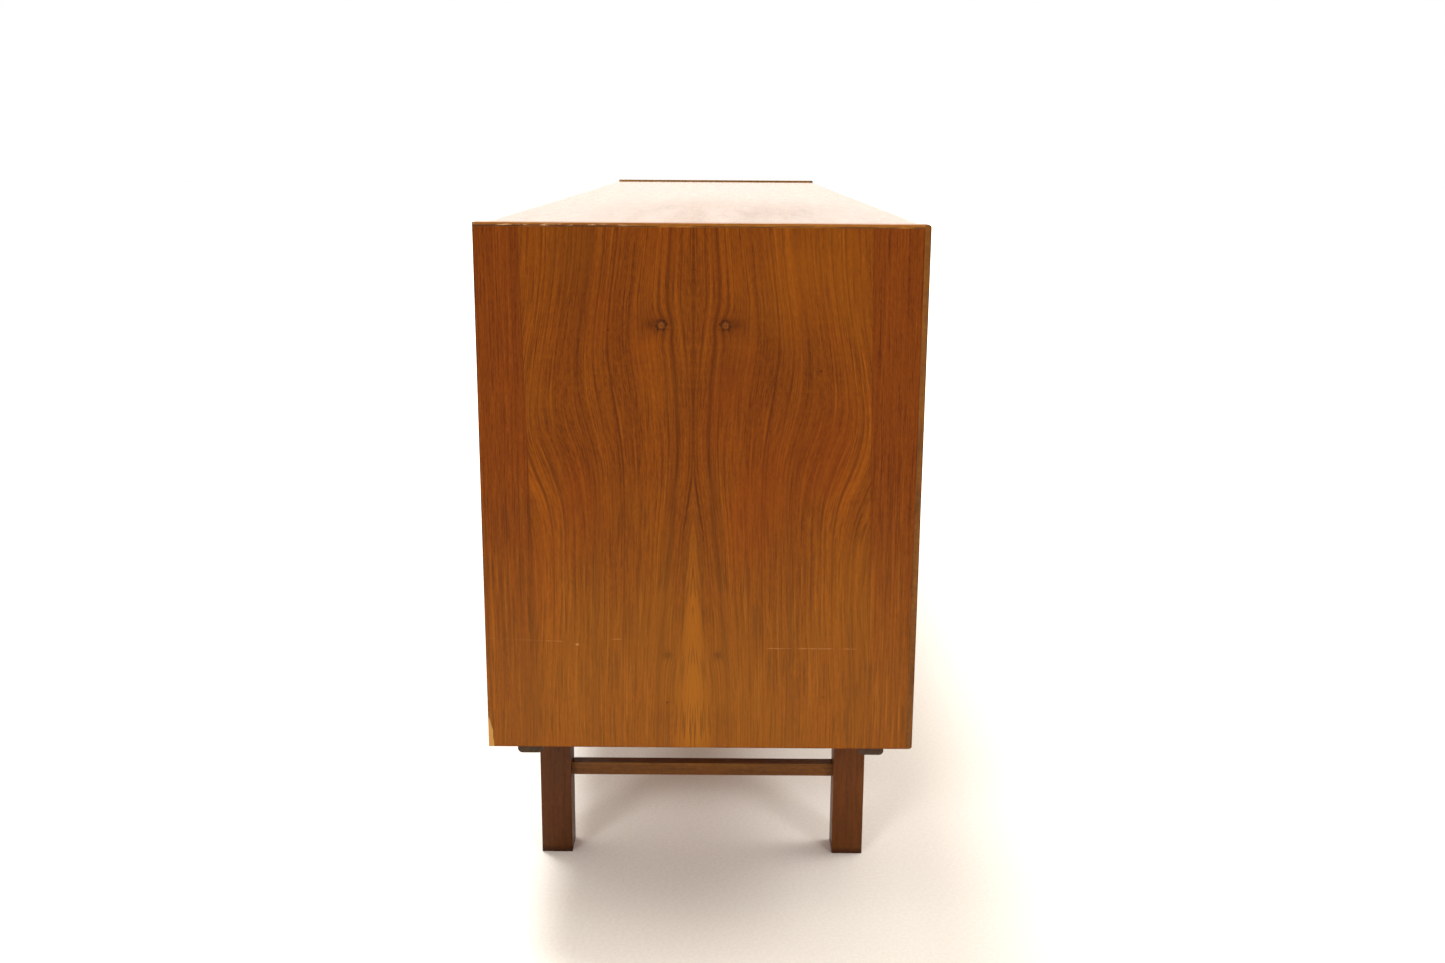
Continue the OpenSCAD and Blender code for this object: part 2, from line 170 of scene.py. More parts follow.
class Wire:
    """A number or a colour that flows through a material's node tree."""

    def __init__(self, graph, socket):
        self.graph = graph
        self.socket = socket

    def __add__(self, other):
        return self.graph.math("ADD", self, other)

    __radd__ = __add__

    def __sub__(self, other):
        return self.graph.math("SUBTRACT", self, other)

    def __rsub__(self, other):
        return self.graph.math("SUBTRACT", other, self)

    def __mul__(self, other):
        return self.graph.math("MULTIPLY", self, other)

    __rmul__ = __mul__

    def __truediv__(self, other):
        return self.graph.math("DIVIDE", self, other)

    def __neg__(self):
        return self * -1.0

    def __abs__(self):
        return self.graph.math("ABSOLUTE", self)


class Graph:
    """The nodes of one material, or of the world. Colours are linear RGB, places are in metres."""

    def __init__(self, name, kind=bpy.data.materials):
        self.owner = kind.new(name)
        self.owner.use_nodes = True
        self.tree = self.owner.node_tree
        self.shader = self.tree.nodes.get("Principled BSDF") or self.tree.nodes.get("Background")

    def put(self, value, socket):
        """Feeds a wire, a number or a colour into a socket."""
        if isinstance(value, Wire):
            self.tree.links.new(value.socket, socket)
        elif isinstance(value, (int, float)):
            socket.default_value = value
        else:
            socket.default_value = (*value, 1)

    def math(self, operation, *values):
        """The result of one arithmetic operation."""
        node = self.tree.nodes.new("ShaderNodeMath")
        node.operation = operation
        for value, socket in zip(values, node.inputs):
            self.put(value, socket)
        return Wire(self, node.outputs[0])

    def place(self, kind="Object"):
        """The point's place in the row frame, which moves with its piece."""
        coordinate = self.tree.nodes.new("ShaderNodeTexCoord")
        split = self.tree.nodes.new("ShaderNodeSeparateXYZ")
        self.tree.links.new(coordinate.outputs[kind], split.inputs[0])
        return [Wire(self, output) for output in split.outputs]

    def vector(self, parts):
        """Three numbers joined into one place."""
        node = self.tree.nodes.new("ShaderNodeCombineXYZ")
        for part, socket in zip(parts, node.inputs):
            self.put(part, socket)
        return Wire(self, node.outputs[0])

    def noise(self, at, detail=2.0, rough=0.5, scale=1.0):
        """Smooth noise around 0.5 at a place that is already stretched, or stretched by scale."""
        node = self.tree.nodes.new("ShaderNodeTexNoise")
        self.put(self.vector(at), node.inputs["Vector"])
        node.inputs["Scale"].default_value = scale
        node.inputs["Detail"].default_value = detail
        node.inputs["Roughness"].default_value = rough
        return Wire(self, node.outputs["Fac"])

    def step(self, value, low, high, out_low=0.0, out_high=1.0):
        """Goes smoothly from out_low to out_high as value goes from low to high."""
        node = self.tree.nodes.new("ShaderNodeMapRange")
        node.interpolation_type = "SMOOTHSTEP"
        self.put(value, node.inputs["Value"])
        self.put(low, node.inputs["From Min"])
        self.put(high, node.inputs["From Max"])
        self.put(out_low, node.inputs["To Min"])
        self.put(out_high, node.inputs["To Max"])
        return Wire(self, node.outputs["Result"])

    def bell(self, value, middle, width):
        """1 at the middle, falling to nothing a few widths away."""
        offset = (value - middle) / width
        return self.math("EXPONENT", -(offset * offset))

    def far(self, a, b):
        """The length of a line that goes a one way and b across it."""
        return self.math("SQRT", a * a + b * b)

    def ramp(self, value, positions, tones):
        """A colour that runs through the tones as value passes their positions."""
        node = self.tree.nodes.new("ShaderNodeValToRGB")
        self.put(value, node.inputs[0])
        elements = node.color_ramp.elements
        while len(elements) < len(tones):
            elements.new(0.5)
        for element, position, colour in zip(elements, positions, tones):
            element.position = position
            element.color = (*colour, 1)
        return Wire(self, node.outputs["Color"])

    def mix(self, share, a, b):
        """Colour a, with a share of colour b."""
        node = self.tree.nodes.new("ShaderNodeMix")
        node.data_type = "RGBA"
        self.put(share, node.inputs["Factor"])
        self.put(a, node.inputs[6])
        self.put(b, node.inputs[7])
        return Wire(self, node.outputs[2])

    def surface(self, colour, roughness, height=None, depth=0.2 * MM, metal=0.0, specular=0.16):
        """The finished surface; a height of 1 stands depth above the mesh."""
        self.put(colour, self.shader.inputs["Base Color"])
        self.put(roughness, self.shader.inputs["Roughness"])
        self.shader.inputs["Metallic"].default_value = metal
        self.shader.inputs["Specular IOR Level"].default_value = specular
        if height is not None:
            bump = self.tree.nodes.new("ShaderNodeBump")
            bump.inputs["Distance"].default_value = depth
            bump.inputs["Strength"].default_value = 1.0
            self.put(height, bump.inputs["Height"])
            self.tree.links.new(bump.outputs["Normal"], self.shader.inputs["Normal"])


def srgb(r, g, b):
    """A colour as seen on screen, 0 to 255, turned into linear light."""
    return tuple(((c / 255 + 0.055) / 1.055) ** 2.4 if c > 10 else c / 255 / 12.92 for c in (r, g, b))


# ---------------------------------------------------------------- wood

# Tones from the darkest grain line to the lightest wood
TEAK = [srgb(72, 30, 2), srgb(112, 55, 5), srgb(127, 65, 7), srgb(152, 85, 14)]
TEAK_RED = [srgb(70, 27, 2), srgb(106, 49, 5), srgb(119, 57, 7), srgb(138, 71, 13)]
TEAK_DEEP = [srgb(52, 24, 5), srgb(78, 40, 10), srgb(90, 48, 13), srgb(106, 60, 20)]
TEAK_BROWN = [srgb(62, 29, 6), srgb(96, 50, 12), srgb(110, 59, 15), srgb(126, 72, 22)]
TEAK_OLIVE = [srgb(70, 36, 5), srgb(108, 62, 9), srgb(122, 74, 13), srgb(142, 92, 22)]
TEAK_TOP = [srgb(74, 37, 3), srgb(112, 64, 7), srgb(128, 76, 10), srgb(152, 96, 20)]
LIPPING = [srgb(88, 46, 9), srgb(128, 75, 17), srgb(148, 91, 26), srgb(178, 118, 44)]
LIPPING_PALE = [srgb(116, 78, 34), srgb(160, 118, 62), srgb(178, 136, 78), srgb(200, 160, 102)]
BEECH = [srgb(150, 102, 56), srgb(180, 134, 82), srgb(196, 152, 100), srgb(212, 172, 122)]
PLYWOOD = [srgb(98, 56, 22), srgb(126, 76, 32), srgb(144, 92, 42), srgb(164, 112, 58)]
TRACK = [srgb(40, 20, 8), srgb(62, 33, 14), srgb(80, 45, 20), srgb(98, 60, 30)]
STAIN = [srgb(36, 26, 17), srgb(62, 46, 33), srgb(78, 59, 43), srgb(104, 80, 58)]
TONE_POSITIONS = (0.10, 0.40, 0.62, 1.0)
RUBBED_STAIN = srgb(100, 82, 62)
EDGE_SHADE_OLIVE = srgb(66, 38, 12)
DARK_EDGE_TEAK = srgb(66, 28, 14)


def darker(colour, share):
    """A colour scaled down towards black."""
    return tuple(c * share for c in colour)


class Figure:
    """What the grain of one wood gives a material: colour, height, fine grain and open pores."""

    def __init__(self, colour, height, fine, pore):
        self.colour = colour
        self.height = height
        self.fine = fine
        self.pore = pore


def wood_figure(g, ring, along, seed, tones, contrast=1.0):
    """Wood whose growth lines run where ring is constant."""
    broad = g.noise((ring * 22, along * 0.8, seed), detail=1)
    lines = g.noise((ring * 120, along * 1.1, seed + 3.1), detail=3, rough=0.75)
    hair = g.noise((ring * 360, along * 5, seed + 5.3), rough=0.7)
    fleck = g.noise((ring * 620, along * 150, seed + 7.7), rough=0.7)
    dashes = g.noise((ring * 680, along * 24, seed + 11.3), rough=0.6)
    swing = (broad - 0.5) * 0.5 + (lines - 0.5) * 0.55 + (hair - 0.5) * 0.7 + (fleck - 0.5) * 0.6
    colour = g.ramp(0.5 + swing * contrast, TONE_POSITIONS, tones)
    growth = g.step(abs(lines - 0.54), 0.0, 0.022, 1.0, 0.0) * g.step(hair, 0.35, 0.55)
    colour = g.mix(growth * 0.58 * contrast, colour, tones[0])
    pore = g.step(dashes, 0.56, 0.68)
    colour = g.mix(pore * 0.34 * contrast, colour, darker(tones[0], 0.7))
    height = fleck * 0.3 + hair * 0.3 - pore * 0.6
    return Figure(colour, height, fleck, pore)


def log_wood(name, along, tones, seed=0.0, pith=(0.09, 0.05), centre=(0, 0, 0),
             roughness=0.42, contrast=1.0, worn=None, specular=0.16):
    """Solid wood sawn from a log that grew along one axis, its pith beside the piece's centre."""
    g = Graph(name)
    place = g.place()
    across, through = [k for k in (X, Y, Z) if k != along]
    a = place[across] - (centre[across] - pith[0])
    b = place[through] - (centre[through] - pith[1])
    run = place[along]
    wander = (g.noise((run * 3.0, seed, 0)) - 0.5) * 0.012
    figure = wood_figure(g, g.far(a, b) + wander, run, seed, tones, contrast)
    cloud = g.noise((place[X], place[Y], place[Z] + seed), scale=9)
    colour = g.mix(g.step(cloud, 0.35, 0.7) * 0.22, figure.colour, tones[0])
    # worn paints marks over the wood: for legs and front lippings, scuffs with painted shade
    if worn is not None:
        colour = worn(g, colour)
    roughness = roughness + (figure.fine - 0.5) * 0.12 + figure.pore * 0.1
    g.surface(colour, roughness, figure.height, specular=specular)
    return g.owner


def shaded_scuffed_foot(tones):
    """Legs are darker just above the floor: painted contact shade, with scuffs."""
    def paint(g, colour):
        x, y, z = g.place()
        scuff = g.noise((x * 60, y * 60, z * 90), detail=3)
        # Painted contact shade near the floor, made ragged by scuff noise
        low = g.step(z + (scuff - 0.5) * 12 * MM, 1 * MM, 9 * MM, 1.0, 0.0)
        return g.mix(low * 0.65, colour, darker(tones[0], 0.35))
    return paint


def front_edge_shade_and_scuffs(g, colour):
    """The front edge of a lipping is darker: painted edge shade, with scuffs."""
    x, y, z = g.place()
    patchy = g.noise((x * 40, y * 40, z * 12), detail=3, rough=0.7)
    # Painted edge shade with scuffs along the front edge
    near = g.step(y - FRONT_Y - (patchy - 0.5) * 5 * MM, 0.0, 1.6 * MM, 1.0, 0.0)
    return g.mix(near * 0.6, colour, EDGE_SHADE_OLIVE)


def turned_wood(name, box, seed):
    """A cup turned from one block: the grain runs straight through it, and painted shade makes it darker
    deeper inside.
    """
    g = Graph(name)
    x, y, z = g.place()
    figure = wood_figure(g, x + y * 0.6, z, seed, TEAK_BROWN)
    # Painted shade in the cup's recess
    recess_shade = g.step(y - box[0].y, 0.5 * MM, 8 * MM)
    colour = g.mix(recess_shade * 0.5, figure.colour, TEAK_BROWN[0])
    g.surface(colour, 0.38 + (figure.fine - 0.5) * 0.1, figure.height)
    return g.owner


def stained(name, seed):
    """Black stain on a rail, rubbed through to brown in patches."""
    g = Graph(name)
    x, y, z = g.place()
    figure = wood_figure(g, y + z * 0.6, x, seed, STAIN, 0.8)
    patchy = g.noise((x * 25, y * 25, z * 25), detail=4, rough=0.7)
    colour = g.mix(g.step(patchy, 0.54, 0.76) * 0.35, figure.colour, RUBBED_STAIN)
    g.surface(colour, 0.5 + (figure.fine - 0.5) * 0.15, figure.height)
    return g.owner


# ---------------------------------------------------------------- the bookmatched end panels

# Places on a panel: y as in the frame, up from its lower edge, ring or u from the mirror line. All in mm.
# The strongest growth lines: ring, width, how dark
STRONG_LINES = (
    (22, 2.2, 0.65), (11, 0.9, 0.50), (30, 0.8, 0.35), (75, 0.9, 0.65),
    (104, 4.5, 0.22), (88, 0.8, 0.35), (138, 0.9, 0.40), (152, 1.0, 0.35),
)
# Wide darker and lighter areas: y, up, half their width, half their height, how strong, tone
BROAD_TONES = (
    (-30, 405, 14, 45, 0.35, TEAK_RED[0]),
    (-82, 405, 26, 45, 0.20, TEAK_RED[0]),
    (125, 500, 45, 60, 0.20, TEAK_RED[0]),
    (-95, 500, 40, 60, 0.24, TEAK[3]),
    (176, 55, 11, 75, 0.30, TEAK[0]),
    (-166, 55, 12, 75, 0.34, TEAK[0]),
)
# Scratches: from y, to y, up where y is 0, slope, how pale
SCRATCHES = (
    (144, 180, 113, 0.036, 0.14), (180, 224, 113, 0.036, 0.05),
    (83, 92, 121, 0.0, 0.16), (-167, -70, 112, 0.0, 0.20),
)
# Pinholes: y, up, radius
PINHOLES = ((35, 51, 1.1), (93, 445, 1.0), (-120, 405, 1.2), (-129, 58, 0.8))

# Where the outer leaves begin, at the lower and the upper edge: the back seam, then the front seam
SEAMS_LEFT = ((170 * MM, 181 * MM), (-178 * MM, -169 * MM))
SEAMS_RIGHT = ((176 * MM, 172 * MM), (-170 * MM, -176 * MM))

HEARTWOOD = srgb(160, 94, 18)
KNOT = srgb(48, 18, 3)
KNOT_RING = srgb(142, 88, 42)
RED_PATCH = srgb(124, 52, 4)
GOLDEN_PATCH = srgb(122, 70, 8)
OPEN_PORE = srgb(66, 30, 4)
HAIRLINE = srgb(70, 32, 4)
GOLDEN_STREAK = srgb(160, 96, 24)
FLOOR_BOUNCE_GOLD = srgb(190, 124, 50)
SCRATCH = srgb(232, 176, 120)
SPECK = srgb(214, 160, 100)
PINHOLE = srgb(30, 12, 6)
BARE_WOOD = srgb(186, 138, 74)


def flame_rings(g, u, up, seed):
    """How far growth lines are from the mirror line; they bulge, narrow at the waist and open below."""
    outer = g.math("MINIMUM", u, 190 * MM)
    belly = g.bell(up, 503 * MM - outer * 0.89, 62 * MM + outer * 0.17)
    slim = g.bell(up, 235 * MM, 150 * MM)
    spread = 0.985 + belly * 0.17 - slim * 0.045
    waist = g.bell(up, 338 * MM, 80 * MM) * g.bell(u, 0.0, 32 * MM) * (8 * MM)
    below = g.step(up, -40 * MM, 345 * MM, 19 * MM, 0.0)
    wedge = below * g.step(u, 26 * MM, 80 * MM, 1.0, 0.0)
    wander = (g.noise((u * 5, up * 8, seed)) - 0.5) * (5 * MM)
    return u / spread + waist - wedge + wander


def pin_knots(g, u, up):
    """How dark and how pale the pin knots are, and how far they push the growth lines aside."""
    ragged = (g.noise((u * 300, up * 300, 4), detail=3, rough=0.7) - 0.5) * (15 * MM)
    aside = u - 32 * MM
    above = up - 450 * MM
    far = g.far(aside, above)
    core = g.bell(far + ragged, 4.4 * MM, 1.4 * MM)
    smear = g.bell(above, 1 * MM, 5 * MM) * g.bell(aside, 10 * MM, 11 * MM) * 0.3
    dark = core + smear + g.bell(far, 5 * MM, 7 * MM) * 0.25
    pale = g.bell(far - ragged * 0.4, 2.2 * MM, 1.3 * MM)
    pushed = g.bell(far, 0.0, 13 * MM) * (4 * MM)

    # a weaker pair near the lower edge
    far = g.far(u - 26 * MM, up - 104 * MM)
    smudge = g.bell(far + ragged, 0.0, 4.2 * MM) * 0.6 + g.bell(far, 0.0, 8 * MM) * 0.2
    pushed = pushed + g.bell(far, 0.0, 9 * MM) * (2 * MM)
    return g.math("MINIMUM", dark + smudge, 1.0), pale, pushed


def end_panel_wood(name, mirror_y, seams, seed, chipped):
    """Two mirrored leaves of teak veneer with upright flame figure between two plainer outer leaves."""
    g = Graph(name)
    x, y, z = g.place()
    up = z - PANEL_BOTTOM
    u = abs(y - mirror_y)
    inward = abs(x) - HALF_LENGTH
    knot, pale, pushed = pin_knots(g, u, up)
    ring = flame_rings(g, u, up, seed) + pushed + inward * 0.6
    figure = wood_figure(g, ring, up, seed, TEAK)
    inner = flame_lines(g, figure.colour, ring, u, up)
    inner = open_grain(g, inner, ring, up, seed)
    inner = patches_and_ripple(g, inner, y, z, up, seed)
    inner = g.mix(knot * 0.85, inner, KNOT)
    inner = g.mix(pale * 0.3, inner, KNOT_RING)

    outer_ring = y + (g.noise((z * 3, seed, 5)) - 0.5) * (5 * MM) + inward * 0.6
    outer = wood_figure(g, outer_ring, up, seed + 40, TEAK_RED, 1.1).colour
    outer = open_grain(g, outer, outer_ring, up, seed + 40)

    colour = veneer_seams(g, y, up, seams, inner, outer)
    colour = broad_tones(g, colour, y, up)
    # Painted light bounced from the floor: the lower part of the panel is lighter and more golden
    painted_floor_bounce = g.step(up, 330 * MM, 20 * MM) * 0.19
    colour = g.mix(painted_floor_bounce, colour, FLOOR_BOUNCE_GOLD)
    colour = panel_marks(g, colour, y, up)
    if chipped:
        colour = chipped_corner(g, colour, y, up)
    roughness = 0.40 + (figure.fine - 0.5) * 0.10 + figure.pore * 0.12
    g.surface(colour, roughness, figure.height, specular=0.06)
    return g.owner


def flame_lines(g, colour, ring, u, up):
    """The strongest growth lines, the light heart below the waist and the dark mirror line above it."""
    for at, width, strength in STRONG_LINES:
        colour = g.mix(g.bell(ring, at * MM, width * MM) * strength, colour, TEAK[0])
    heart = g.step(ring, -14 * MM, 10 * MM, 1.0, 0.0) * g.step(up, 350 * MM, 220 * MM)
    colour = g.mix(heart * 0.5, colour, HEARTWOOD)
    cloud = g.bell(up, 452 * MM, 16 * MM) * g.bell(u, 46 * MM, 16 * MM)
    colour = g.mix(cloud * 0.3, colour, TEAK_RED[0])
    mirror_line = g.bell(u, 0.0, 1.6 * MM) * g.step(up, 300 * MM, 380 * MM)
    return g.mix(mirror_line * 0.35, colour, TEAK[0])


def open_grain(g, colour, ring, up, seed):
    """Open pores, dark hairlines and golden streaks, strongest in the lower half."""
    dashes = g.noise((ring * 470, up * 18, seed + 15))
    open_pore = g.step(dashes, 0.55, 0.62) * g.step(up, 420 * MM, 80 * MM, 0.14, 0.66)
    colour = g.mix(open_pore, colour, OPEN_PORE)
    hair = g.noise((ring * 300, up * 2.2, seed + 19), detail=3, rough=0.7)
    hairline = g.step(hair, 0.56, 0.61) * g.step(up, 460 * MM, 120 * MM, 0.22, 0.50)
    colour = g.mix(hairline, colour, HAIRLINE)
    golden = g.noise((ring * 330, up * 9, seed + 17), rough=0.6)
    streak = g.step(golden, 0.54, 0.66) * g.step(up, 380 * MM, 100 * MM)
    return g.mix(streak * 0.3, colour, GOLDEN_STREAK)


def patches_and_ripple(g, colour, y, z, up, seed):
    """Redder and more golden patches, and ripple across the grain, most of it beside the knots."""
    patch = g.noise((y * 9, up * 5, seed + 30))
    colour = g.mix(g.step(patch, 0.50, 0.68) * 0.30, colour, RED_PATCH)
    colour = g.mix(g.step(patch, 0.50, 0.32) * 0.22, colour, GOLDEN_PATCH)
    ripple = g.noise((y * 22, z * 230, seed + 20))
    strength = g.bell(up, 430 * MM, 90 * MM) * 0.04 + 0.02
    return g.mix(g.step(ripple, 0.5, 0.72) * strength, colour, TEAK[3])


def veneer_seams(g, y, up, seams, inner, outer):
    """The outer leaves begin past two nearly upright seams."""
    (back_low, back_high), (front_low, front_high) = seams
    share = up / PANEL_H
    from_back = y - (back_low + share * (back_high - back_low))
    from_front = y - (front_low + share * (front_high - front_low))
    past_back = g.step(from_back, -0.4 * MM, 0.4 * MM)
    past_front = g.step(-from_front, -0.4 * MM, 0.4 * MM)
    colour = g.mix(g.math("MAXIMUM", past_back, past_front), inner, outer)
    line = g.bell(from_back, 0.0, 0.6 * MM) + g.bell(from_front, 0.0, 0.6 * MM)
    return g.mix(line * 0.3, colour, TEAK_RED[0])


def broad_tones(g, colour, y, up):
    """Wide darker and lighter areas that run across the leaves."""
    for at_y, at_up, wide, tall, share, tone in BROAD_TONES:
        area = g.bell(y, at_y * MM, wide * MM) * g.bell(up, at_up * MM, tall * MM)
        colour = g.mix(area * share, colour, tone)
    return colour


def panel_marks(g, colour, y, up):
    """Scratches, pinholes, and dark edges: painted edge shade with scuffs along the long edges, and darker
    along the lower edge.
    """
    wobble = (g.noise((y * 30, 0, 0)) - 0.5) * (1.2 * MM)
    broken = g.step(g.noise((y * 110, up * 20, 6)), 0.40, 0.55)
    for start, end, height, slope, strength in SCRATCHES:
        begun = g.step(y, (start - 3) * MM, (start + 3) * MM)
        along = begun * g.step(y, (end - 3) * MM, (end + 3) * MM, 1.0, 0.0)
        scratch = g.bell(up + wobble - y * slope, height * MM, 0.45 * MM) * along * broken
        colour = g.mix(scratch * strength, colour, SCRATCH)
    speck = g.bell(y, 129 * MM, 1.6 * MM) * g.bell(up, 115 * MM, 1.0 * MM)
    colour = g.mix(speck * 0.5, colour, SPECK)
    for hole_y, hole_up, size in PINHOLES:
        hole = g.bell(g.far(y - hole_y * MM, up - hole_up * MM), 0.0, size * MM)
        colour = g.mix(hole * 0.75, colour, PINHOLE)
    patchy = g.noise((y * 30, up * 30, 3), detail=3, rough=0.7)
    # Painted edge shade with scuffs along the back edge and beside the front lipping
    long_edge = g.math("MINIMUM", BACK_Y - y, y - (FRONT_Y + 6 * MM))
    edge_shade_and_scuffs = g.step(long_edge - (patchy - 0.5) * (4 * MM), 0.0, 1.6 * MM, 1.0, 0.0)
    colour = g.mix(edge_shade_and_scuffs * 0.45, colour, DARK_EDGE_TEAK)
    # Darker along the lower edge
    lower_edge = g.step(up - (patchy - 0.5) * (3 * MM), 0.0, 1.6 * MM, 1.0, 0.0)
    return g.mix(lower_edge * 0.4, colour, DARK_EDGE_TEAK)


def chipped_corner(g, colour, y, up):
    """The veneer is broken away at the lower back corner."""
    ragged = g.noise((y * 160, up * 60, 9), detail=3)
    from_back = (BACK_Y - y) / (6.5 * MM)
    from_below = up / (34 * MM)
    reach = from_back + from_below * from_below * 0.9 + (ragged - 0.5) * 0.9
    return g.mix(g.step(reach, 0.85, 1.0, 1.0, 0.0) * 0.85, colour, BARE_WOOD)


# ---------------------------------------------------------------- the rims of the end panels

BROWN_RIM = srgb(92, 50, 24)
PALE_CHIP = srgb(216, 172, 122)
DARK_JOINT = srgb(44, 24, 6)


def lipping_wood(name, chipped):
    """The solid strip along the rim of an end panel."""
    g = Graph(name)
    x, y, z = g.place()
    tones = LIPPING if chipped else LIPPING_PALE
    figure = wood_figure(g, z + x * 0.5, y, 12.0, tones, 0.8)
    colour = chipped_rim(g, figure.colour, y, z) if chipped else figure.colour
    g.surface(colour, 0.4 + (figure.fine - 0.5) * 0.1 + figure.pore * 0.1, figure.height)
    return g.owner


def chipped_rim(g, colour, y, z):
    """Pale chips and a browner lower half along the back third of the rim, and a dark broken joint."""
    from_top = PANEL_TOP - z
    ragged = g.noise((y * 48, z * 300, 12), detail=3, rough=0.65)
    wander = (g.noise((y * 14, 12, 0), detail=3) - 0.5) * (2.4 * MM)
    back_third = g.step(y, 50 * MM, 110 * MM)
    brown = g.step(from_top + (ragged - 0.5) * (4 * MM), 0.9 * MM, 2.0 * MM) * back_third
    colour = g.mix(brown * 0.7, colour, BROWN_RIM)
    inside = g.bell(from_top, 2.1 * MM, 1.0 * MM) * back_third
    colour = g.mix(g.step(ragged, 0.52, 0.60) * inside * 0.75, colour, PALE_CHIP)
    broken = g.step(g.noise((y * 22, 12, 3)), 0.36, 0.52)
    gap = g.bell(from_top + wander, 3.3 * MM, 0.7 * MM) * broken
    return g.mix(gap * 0.85, colour, DARK_JOINT)


# ---------------------------------------------------------------- the top

TOP_LIPPING = 5 * MM
TOP_CLOUD = srgb(74, 50, 8)
TOP_MOTTLE = srgb(100, 58, 8)


def top_wood():
    """Lengthwise veneer in two mirrored leaves, solid edges and one clouded patch towards the left end."""
    g = Graph("top_board_teak")
    x, y, z = g.place()
    u = abs(y - 4 * MM)
    sway = (g.noise((x * 1.1, u * 4, 90)) - 0.5) * (16 * MM)
    figure = wood_figure(g, u + sway, x, 91.0, TEAK_TOP, 0.75)
    edge = g.math("MINIMUM", y - FRONT_Y, BACK_Y - y)
    solid = wood_figure(g, y + z * 0.6, x, 95.0, LIPPING, 0.7).colour
    inside = g.step(edge, TOP_LIPPING - 0.2 * MM, TOP_LIPPING + 0.2 * MM)
    colour = g.mix(inside, solid, figure.colour)
    colour = g.mix(g.bell(edge, TOP_LIPPING, 0.4 * MM) * 0.5, colour, TEAK[0])
    cloud = g.noise((x * 1.2, y * 14, 97))
    clouded = g.bell(x, -0.64, 0.34) * g.bell(y, -0.02, 0.11) * g.step(cloud, 0.20, 0.75)
    colour = g.mix(clouded * 0.5, colour, TOP_CLOUD)
    mottle = g.noise((x * 14, y * 70, 98), detail=3, rough=0.65)
    colour = g.mix(g.step(mottle, 0.40, 0.70) * 0.25, colour, TOP_MOTTLE)
    roughness = 0.28 + clouded * 0.10 + (mottle - 0.5) * 0.08 + figure.pore * 0.04
    g.surface(colour, roughness, figure.height, depth=0.03 * MM, specular=0.42)
    return g.owner


# ---------------------------------------------------------------- other boards, with lippings drawn on

LIPPING_W = 4 * MM


def edge_distance(g, box, thin):
    """How far a point on a board's face is from the nearest edge; thin is the axis through it."""
    place = g.place()
    distances = []
    for k in (X, Y, Z):
        if k != thin:
            distances.append(g.math("MINIMUM", place[k] - box[0][k], box[1][k] - place[k]))
    return g.math("MINIMUM", *distances)


def worn_edges(g, colour, distance, light, amount, seed):
    """Rubs the finish thin along edges; distance is how far the nearest edge is."""
    x, y, z = g.place()
    patchy = g.noise((x + seed, y, z), detail=3, rough=0.7, scale=55)
    worn = g.step(distance - (patchy - 0.5) * 4.5 * MM, 0.0, 2.2 * MM, 1.0, 0.0)
    return g.mix(worn * amount, colour, light)


def board_wood(name, box, grain, thin, tones, seed, lipping=0.0, lipping_tones=LIPPING,
               mirror=None, roughness=0.42, contrast=1.0, rub=0.35):
    """A veneered board: grain is the axis it runs along, thin the axis through the board."""
    g = Graph(name)
    place = g.place()
    across = X + Y + Z - grain - thin
    run = place[grain]
    middle = box[0][across] - 0.05 if mirror is None else mirror
    ring = abs(place[across] - middle) + abs(place[thin] - box[0][thin]) * 0.5
    sway = (g.noise((run * 1.6, ring * 3, seed)) - 0.5) * 30 * MM
    figure = wood_figure(g, ring + sway, run, seed, tones, contrast)
    colour = figure.colour
    distance = edge_distance(g, box, thin)
    if lipping:
        solid_ring = place[across] + place[thin] * 0.6
        solid = wood_figure(g, solid_ring, run, seed + 9, lipping_tones, 0.7).colour
        inside = g.step(distance, lipping - 0.2 * MM, lipping + 0.2 * MM)
        colour = g.mix(inside, solid, colour)
        colour = g.mix(g.bell(distance, lipping, 0.35 * MM) * 0.5, colour, tones[0])
    colour = worn_edges(g, colour, distance, tones[3], rub, seed)
    roughness = roughness + (figure.fine - 0.5) * 0.10 + figure.pore * 0.1
    g.surface(colour, roughness, figure.height)
    return g.owner


# ---------------------------------------------------------------- metal

PIN_BRASS = srgb(196, 156, 88)
SCREW_BRASS = srgb(196, 158, 92)
DULL_BRASS = srgb(120, 92, 52)
ZINC = srgb(160, 160, 160)
DULL_ZINC = srgb(98, 94, 88)


def metal(name, base, dull, roughness):
    """Old metal: fine scratches and dull blotches."""
    g = Graph(name)
    x, y, z = g.place()
    blotch = g.noise((x, y, z), detail=3, scale=260)
    scratch = g.noise((x * 900, y * 900, z * 4000))
    colour = g.mix(g.step(blotch, 0.4, 0.7), base, dull)
    roughness = roughness + (blotch - 0.5) * 0.3
    g.surface(colour, roughness, scratch, depth=0.02 * MM, metal=1.0, specular=0.5)
    return g.owner


# ---------------------------------------------------------------- dressing the CAD nodes

def dress(name, material):
    """Gives a CAD node its one material."""
    nodes[name].data.materials.clear()
    nodes[name].data.materials.append(material)


def dress_board(name, wood, *args, **kwargs):
    """Gives a CAD node the wood of a veneered board."""
    dress(name, board_wood(f"{name}_{wood}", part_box(name), *args, **kwargs))


def soften(names, width, segments=2):
    """Breaks the sharp corners of sawn boards."""
    for name in names:
        bevel = nodes[name].modifiers.new("softened_corners", "BEVEL")
        bevel.width = width
        bevel.segments = segments
        bevel.limit_method = "ANGLE"
        bevel.angle_limit = math.radians(50)
        bevel.harden_normals = True


